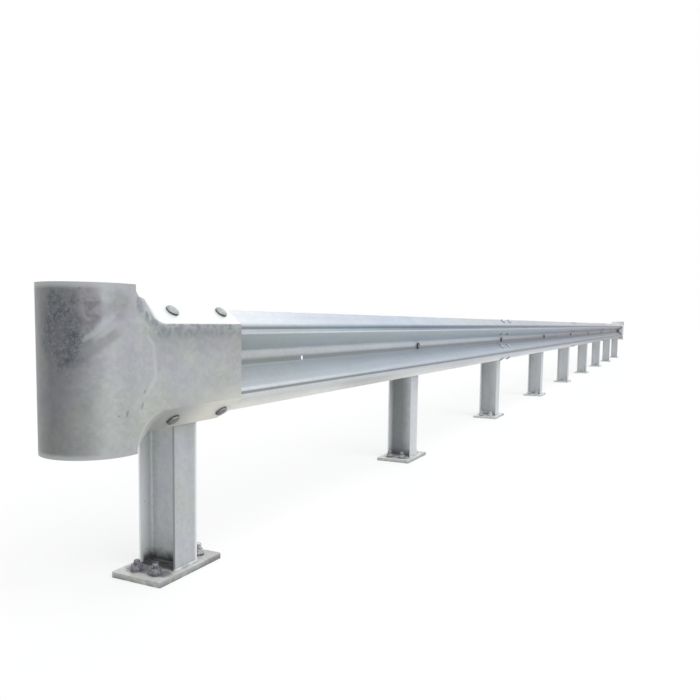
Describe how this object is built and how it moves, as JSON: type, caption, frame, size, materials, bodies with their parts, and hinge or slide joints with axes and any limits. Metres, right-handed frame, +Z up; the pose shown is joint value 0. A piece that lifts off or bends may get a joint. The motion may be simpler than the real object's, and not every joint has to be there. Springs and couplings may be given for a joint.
{
  "type": "highway guardrail section",
  "caption": "Straight steel highway guardrail run: W-profile beams lapped end to end on I-section posts with bolt-down base plates, and a rounded bull-nose terminal at each end.",
  "frame": {"origin": "centre of the middle base plate's underside, on the ground", "axes": "+X along the rail from the near terminal to the far one, traffic face towards -Y, +Z up"},
  "size_m": [16.1159, 0.256, 0.827],
  "materials": {
    "base_plate": "hot-dip galvanised plate, dull and dusty",
    "post": "hot-dip galvanised, dull grey",
    "beam": "hot-dip galvanised, pale blue-grey with fine mottling",
    "terminal": "hot-dip galvanised, spangled mid grey with stains"
  },
  "bodies": {
    "root": {"base_plate_1": "base_plate", "base_plate_2": "base_plate", "base_plate_3": "base_plate", "base_plate_4": "base_plate", "base_plate_5": "base_plate", "base_plate_6": "base_plate", "base_plate_7": "base_plate", "base_plate_8": "base_plate", "base_plate_9": "base_plate", "post_1": "post", "post_2": "post", "post_3": "post", "post_4": "post", "post_5": "post", "post_6": "post", "post_7": "post", "post_8": "post", "post_9": "post", "beam_1": "beam", "beam_2": "beam", "beam_3": "beam", "beam_4": "beam", "terminal_near": "terminal", "terminal_far": "terminal"}
  },
  "joints": []
}
